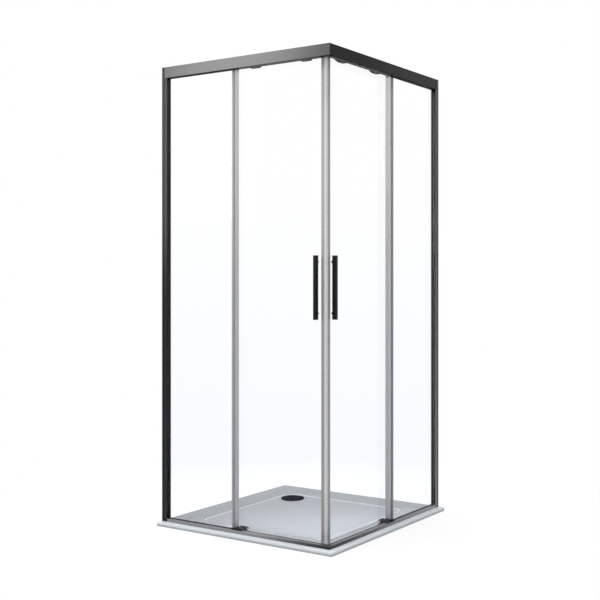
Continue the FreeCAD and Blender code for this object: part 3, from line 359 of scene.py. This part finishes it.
# painted shade: the top rails darken along their underside
PAINTED_UNDERSIDE_SHADE_REACH = (RAIL_FOOT + 0.0008, RAIL_FOOT + 0.0030)
PAINTED_UNDERSIDE_SHADE_LEVELS = (0.22, 1.0)
# painted light and shade: the bottom rails are lighter towards the walls and darker towards the entry
# corner
SILL_PAINTED_LIGHT_REACH = {"left": (0.0, 0.42), "right": (-0.42, 0.45)}
SILL_PAINTED_LIGHT_LEVELS = {"left": (2.7, 0.42), "right": (0.55, 3.5)}
# painted light: the right top rail lightens along its length towards the wall
RIGHT_RAIL_PAINTED_LIGHT_REACH, RIGHT_RAIL_PAINTED_LIGHT_LEVELS = (-0.42, 0.45), (0.6, 1.6)
# painted light: the right post is lighter at its foot and darker at its top
POST_PAINTED_LIGHT_REACH = (0.0, 1.9)
RIGHT_POST_PAINTED_LIGHT_LEVELS = (2.3, 0.7)
rail_finish = {side: brushed(side + "_rail_anthracite", RAIL_PAINTED_LIGHT_TONES[side], RUN[side],
                             Specular_Tint=EDGE_SHEEN) for side in SIDES}
sill_finish = {side: brushed(side + "_sill_anthracite", SILL_TONES, RUN[side]) for side in SIDES}
for side in SIDES:
    scale_tones(rail_finish[side], coordinate(rail_finish[side], Z), PAINTED_UNDERSIDE_SHADE_REACH, PAINTED_UNDERSIDE_SHADE_LEVELS)
    scale_tones(sill_finish[side], coordinate(sill_finish[side], RUN[side]), SILL_PAINTED_LIGHT_REACH[side],
                SILL_PAINTED_LIGHT_LEVELS[side])
scale_tones(rail_finish["right"], coordinate(rail_finish["right"], Y), RIGHT_RAIL_PAINTED_LIGHT_REACH,
            RIGHT_RAIL_PAINTED_LIGHT_LEVELS)
post_finish = {side: brushed(side + "_post_anthracite", POST_PAINTED_LIGHT_TONES[side], Z) for side in SIDES}
scale_tones(post_finish["right"], coordinate(post_finish["right"], Z), POST_PAINTED_LIGHT_REACH, RIGHT_POST_PAINTED_LIGHT_LEVELS)
wall_profile_finish = brushed("wall_profile_anthracite", WALL_PROFILE_TONES, Z)
mill_aluminium = finish_material(
    "mill_aluminium", ((0.60, 0.61, 0.62), (0.66, 0.67, 0.68)), (90, 90, 4), 1200,
    (0.32, 0.45), 0.00003, 1.0)
screw_steel = finish_material(
    "screw_steel", ((0.55, 0.55, 0.55), (0.65, 0.65, 0.64)), (60, 60, 60), 1800,
    (0.25, 0.36), 0.00002, 1.0)
FRAME_EDGE = 0.0003
SMALL_EDGE = 0.0002
for side in SIDES:
    dress(side + "_top_rail", rail_finish[side], FRAME_EDGE)
    dress(side + "_bottom_rail", sill_finish[side], FRAME_EDGE)
    dress(side + "_wall_profile", wall_profile_finish, FRAME_EDGE)
    dress(side + "_frame_post", post_finish[side], FRAME_EDGE)
    dress(side + "_post_screws", screw_steel, SMALL_EDGE)
for name in ("top_corner_bracket", "bottom_corner_bracket"):
    coat(name, mill_aluminium)


# Panes
# Six millimetre toughened glass, clear, with ground edges that look faintly green. The fixed pane
# sits in a dark gasket in the slots of post and rails. A pale clip profile covers its free edge.

# painted reflection: the glass is tinted bluer towards its foot
PAINTED_REFLECTION_LOW = 0.2
PAINTED_REFLECTION_HIGH = 1.5
FOOT_PAINTED_REFLECTION = (0.945, 0.968, 0.998, 1)
TOP_PAINTED_REFLECTION = (0.995, 0.998, 1.0, 1)
GLASS_IOR = 1.2


def glass_material():
    """Clear glass with a painted reflection: its blue tint is a little stronger towards the foot."""
    material = bpy.data.materials.new("clear_glass")
    material.use_nodes = True
    nodes, links = material.node_tree.nodes, material.node_tree.links
    shader = nodes["Principled BSDF"]
    shader.inputs["Transmission Weight"].default_value = 1.0
    shader.inputs["Roughness"].default_value = 0.0
    shader.inputs["IOR"].default_value = GLASS_IOR
    place = nodes.new("ShaderNodeTexCoord")
    split = nodes.new("ShaderNodeSeparateXYZ")
    links.new(place.outputs["Object"], split.inputs[0])
    level = nodes.new("ShaderNodeMapRange")
    level.interpolation_type = "SMOOTHSTEP"
    level.inputs["From Min"].default_value = PAINTED_REFLECTION_LOW
    level.inputs["From Max"].default_value = PAINTED_REFLECTION_HIGH
    links.new(split.outputs["Z"], level.inputs["Value"])
    tint = nodes.new("ShaderNodeMix")
    tint.data_type = "RGBA"
    tint.inputs["A"].default_value = FOOT_PAINTED_REFLECTION
    tint.inputs["B"].default_value = TOP_PAINTED_REFLECTION
    links.new(level.outputs["Result"], tint.inputs["Factor"])
    links.new(tint.outputs["Result"], shader.inputs["Base Color"])
    return material


clear_glass = glass_material()
dark_rubber = finish_material(
    "glazing_rubber", ((0.060, 0.060, 0.062), (0.075, 0.075, 0.077)), (40, 40, 40), 1400,
    (0.5, 0.65), 0.00004, Specular_IOR_Level=0.4)
# painted light: left and right edge profiles are lit and shaded copies of one grey plastic
PROFILE_PAINTED_LIGHT_TONES = {"left": ((0.42, 0.42, 0.435), (0.46, 0.46, 0.475)),
                 "right": ((0.265, 0.265, 0.273), (0.30, 0.30, 0.308))}
grey_profile = {side: finish_material(side + "_grey_profile", PROFILE_PAINTED_LIGHT_TONES[side], (12, 12, 3), 600,
                                      (0.3, 0.36), 0.00001) for side in SIDES}
for side in SIDES:
    coat(side + "_fixed_glass", clear_glass)
    coat(side + "_glazing_gasket", dark_rubber)
    dress(side + "_edge_profile", grey_profile[side], SMALL_EDGE)


# Door edges
# Each sliding pane has a plastic profile clipped on every upright edge and a wiper on its foot.
# The closing profiles hold black magnet strips and meet at 45 degrees over the entry corner.

closing_grey = finish_material(
    "closing_grey", ((0.44, 0.44, 0.452), (0.48, 0.48, 0.492)), (12, 12, 3), 600, (0.3, 0.36), 0.00001)
# painted highlight: the closing profiles lighten towards their meeting corner
PAINTED_HIGHLIGHT_REACH = (0.0, 0.014)
PAINTED_HIGHLIGHT_LEVELS = (2.2, 0.78)
# painted light: the trailing seals lighten towards their top
PAINTED_SEAL_LIGHT_REACH = (0.9, 1.9)
PAINTED_SEAL_LIGHT_LEVELS = (1.0, 1.22)
closing_low, closing_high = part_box("left_closing_profile")
scale_tones(closing_grey, distance_from(closing_grey, (closing_high[X], closing_low[Y])),
            PAINTED_HIGHLIGHT_REACH, PAINTED_HIGHLIGHT_LEVELS)
milky_seal = finish_material(
    "milky_seal", ((0.72, 0.72, 0.74), (0.78, 0.78, 0.80)), (12, 12, 3), 600, (0.3, 0.4), 0.00001)
scale_tones(milky_seal, coordinate(milky_seal, Z), PAINTED_SEAL_LIGHT_REACH, PAINTED_SEAL_LIGHT_LEVELS)
wiper_white = finish_material(
    "wiper_white", ((0.93, 0.94, 0.96), (0.95, 0.96, 0.98)), (12, 12, 3), 600, (0.3, 0.4), 0.00001)
for side in SIDES:
    coat(side + "_door_glass", clear_glass)
    dress(side + "_closing_profile", closing_grey, SMALL_EDGE)
    dress(side + "_trailing_seal", milky_seal, SMALL_EDGE)
    coat(side + "_bottom_seal", wiper_white)
    coat(side + "_magnet_strip", dark_rubber)


# Handles
# A solid square bar with broken edges, powder coated black, held by two capped screws through
# the pane.

# painted light: left and right handles are lit and shaded copies of one black coating
HANDLE_PAINTED_LIGHT_TONES = {"left": ((0.008, 0.008, 0.009), (0.011, 0.011, 0.012)),
                "right": ((0.020, 0.020, 0.021), (0.025, 0.025, 0.026))}
black_coat = {side: finish_material(side + "_black_coating", HANDLE_PAINTED_LIGHT_TONES[side], (12, 12, 12), 1200,
                                    (0.36, 0.44), 0.00003, Specular_IOR_Level=0.12) for side in SIDES}
HANDLE_EDGE = 0.0004
HANDLE_EDGE_SEGMENTS = 3
for side in SIDES:
    dress(side + "_handle", black_coat[side], HANDLE_EDGE, HANDLE_EDGE_SEGMENTS)
    dress(side + "_handle_screws", screw_steel, SMALL_EDGE)


# Roller carriages
# Coated castings outside the pane with two nylon wheels each, which run in the top rail. Bolts
# with a socket head pull a clamp plate against the pane from the inside.

carriage_coat = finish_material(
    "carriage_coating", ((0.018, 0.018, 0.019), (0.026, 0.026, 0.027)), (20, 20, 20), 900,
    (0.4, 0.5), 0.00004, Specular_IOR_Level=0.25)
nylon = finish_material(
    "wheel_nylon", ((0.72, 0.72, 0.69), (0.80, 0.80, 0.77)), (80, 80, 80), 1600, (0.35, 0.5), 0.00002)
WHEELS_A_DOOR = 4
for side in SIDES:
    for name in ("rear_carriage", "front_carriage", "clamp_plates"):
        dress(side + "_" + name, carriage_coat, FRAME_EDGE)
    for name in ("carriage_bolts", "wheel_axles"):
        dress(side + "_" + name, screw_steel, SMALL_EDGE)
    for number in range(1, WHEELS_A_DOOR + 1):
        dress("%s_wheel_%d" % (side, number), nylon, SMALL_EDGE)


# Guides and stops
# Black moulded shoes on the bottom rails hold the feet of the sliding panes, and rubber blocks in
# the track stop the outer wheels at both ends of the travel.

black_plastic = finish_material(
    "guide_plastic", ((0.012, 0.012, 0.013), (0.020, 0.020, 0.021)), (50, 50, 50), 1500,
    (0.4, 0.55), 0.00004, Specular_IOR_Level=0.2)
for side in SIDES:
    dress(side + "_door_guide", black_plastic, FRAME_EDGE)
    coat(side + "_track_stops", black_plastic)


# Floor, light and camera
# A pale floor that fades into a white surround, two large soft panels at the front left and at the
# right, a lamp overhead, and the camera on the entry corner's side at chest height.

FLOOR_RADIUS = 9.0
FLOOR_SEGMENTS = 96
FLOOR_ROUGHNESS = 0.9
FLOOR_BOUNCE = 0.5
FLOOR_FADE = (0.75, 1.6)
FLOOR_OWN_LIGHT = 0.76
FLOOR_SHADE = 0.30


def seen_rays(nodes, links):
    """1 for a ray that shows the background: seen, mirrored or through glass, but off nothing matt."""
    rays = nodes.new("ShaderNodeLightPath")
    shown = rays.outputs["Is Camera Ray"]
    for name in ("Is Glossy Ray", "Is Transmission Ray"):
        both = nodes.new("ShaderNodeMath")
        both.operation = "MAXIMUM"
        links.new(shown, both.inputs[0])
        links.new(rays.outputs[name], both.inputs[1])
        shown = both.outputs[0]
    direct = nodes.new("ShaderNodeMath")
    direct.operation = "LESS_THAN"
    direct.inputs[1].default_value = HALF
    links.new(rays.outputs["Diffuse Depth"], direct.inputs[0])
    result = nodes.new("ShaderNodeMath")
    result.operation = "MULTIPLY"
    links.new(shown, result.inputs[0])
    links.new(direct.outputs[0], result.inputs[1])
    return result.outputs[0]


def make_floor():
    """A floor that is white where it is seen and keeps the tray's soft shadow."""
    mesh = bpy.data.meshes.new("floor")
    disc = bmesh.new()
    bmesh.ops.create_circle(disc, cap_ends=True, segments=FLOOR_SEGMENTS, radius=FLOOR_RADIUS)
    disc.to_mesh(mesh)
    disc.free()
    floor = bpy.data.objects.new("floor", mesh)
    bpy.context.scene.collection.objects.link(floor)
    material = bpy.data.materials.new("pale_floor")
    material.use_nodes = True
    nodes, links = material.node_tree.nodes, material.node_tree.links
    shader = nodes["Principled BSDF"]
    shader.inputs["Roughness"].default_value = FLOOR_ROUGHNESS
    shader.inputs["Specular IOR Level"].default_value = 0.0
    seen = seen_rays(nodes, links)
    tone = nodes.new("ShaderNodeMix")
    tone.data_type = "RGBA"
    tone.inputs["A"].default_value = (FLOOR_BOUNCE, FLOOR_BOUNCE, FLOOR_BOUNCE, 1)
    tone.inputs["B"].default_value = (FLOOR_SHADE, FLOOR_SHADE, FLOOR_SHADE, 1)
    links.new(seen, tone.inputs["Factor"])
    links.new(tone.outputs["Result"], shader.inputs["Base Color"])
    shader.inputs["Emission Color"].default_value = (1, 1, 1, 1)
    own = nodes.new("ShaderNodeMath")
    own.operation = "MULTIPLY"
    own.inputs[1].default_value = FLOOR_OWN_LIGHT
    links.new(seen, own.inputs[0])
    links.new(own.outputs[0], shader.inputs["Emission Strength"])
    white = nodes.new("ShaderNodeEmission")
    place = nodes.new("ShaderNodeTexCoord")
    reach = nodes.new("ShaderNodeVectorMath")
    reach.operation = "LENGTH"
    links.new(place.outputs["Object"], reach.inputs[0])
    fade = nodes.new("ShaderNodeMapRange")
    fade.interpolation_type = "SMOOTHSTEP"
    fade.inputs["From Min"].default_value = FLOOR_FADE[0]
    fade.inputs["From Max"].default_value = FLOOR_FADE[1]
    links.new(reach.outputs["Value"], fade.inputs["Value"])
    share = nodes.new("ShaderNodeMath")
    share.operation = "MULTIPLY"
    links.new(fade.outputs["Result"], share.inputs[0])
    links.new(seen, share.inputs[1])
    blend = nodes.new("ShaderNodeMixShader")
    links.new(share.outputs[0], blend.inputs["Fac"])
    links.new(shader.outputs["BSDF"], blend.inputs[1])
    links.new(white.outputs["Emission"], blend.inputs[2])
    links.new(blend.outputs["Shader"], nodes["Material Output"].inputs["Surface"])
    mesh.materials.append(material)


def make_surround(level):
    """White where it is seen, mirrored or shown through glass, and level where it lights."""
    world = bpy.data.worlds.new("surround")
    bpy.context.scene.world = world
    world.use_nodes = True
    nodes, links = world.node_tree.nodes, world.node_tree.links
    shine = nodes["Background"]
    shine.inputs["Color"].default_value = (1, 1, 1, 1)
    strength = nodes.new("ShaderNodeMapRange")
    strength.inputs["To Min"].default_value = level
    links.new(seen_rays(nodes, links), strength.inputs["Value"])
    links.new(strength.outputs["Result"], shine.inputs["Strength"])


def soft_lamp(name, place, target, size, brightness, in_gloss=True):
    """A flat lamp of one brightness all over, that polished surfaces mirror or not."""
    lamp = bpy.data.lights.new(name, "AREA")
    lamp.shape = "RECTANGLE"
    lamp.size, lamp.size_y = size
    lamp.energy = brightness * math.pi * size[0] * size[1]
    holder = bpy.data.objects.new(name, lamp)
    bpy.context.scene.collection.objects.link(holder)
    holder.visible_glossy = in_gloss
    holder.location = place
    holder.rotation_euler = (Vector(target) - Vector(place)).to_track_quat("-Z", "Y").to_euler()


LENS = 60.71
SENSOR = 36.0
SHIFT = (-0.1163, -0.0382)
CAMERA_PLACE = (2.6022, -3.5844, 1.0518)
CAMERA_LEVEL = math.radians(90)
CAMERA_TURN = math.radians(32.31)


def make_camera():
    """The lens axis is level, so uprights stay upright; the shifts frame the enclosure."""
    data = bpy.data.cameras.new("camera")
    data.lens = LENS
    data.sensor_width = SENSOR
    data.shift_x, data.shift_y = SHIFT
    camera = bpy.data.objects.new("camera", data)
    bpy.context.scene.collection.objects.link(camera)
    camera.location = CAMERA_PLACE
    camera.rotation_euler = (CAMERA_LEVEL, 0, CAMERA_TURN)
    bpy.context.scene.camera = camera


SURROUND_LEVEL = 0.38
MIDDLE = (0, 0, 1.0)
make_floor()
make_surround(SURROUND_LEVEL)
soft_lamp("front_left_panel", (-4.3, -3.6, 3.1), MIDDLE, (3.0, 3.2), 3.8)
soft_lamp("right_panel", (5.0, -3.2, 2.2), MIDDLE, (2.2, 3.0), 3.0)
soft_lamp("overhead_lamp", (0.0, 0.0, 5.0), MIDDLE, (3.0, 3.0), 5.2, in_gloss=False)
make_camera()
bpy.context.scene.view_settings.view_transform = "Standard"
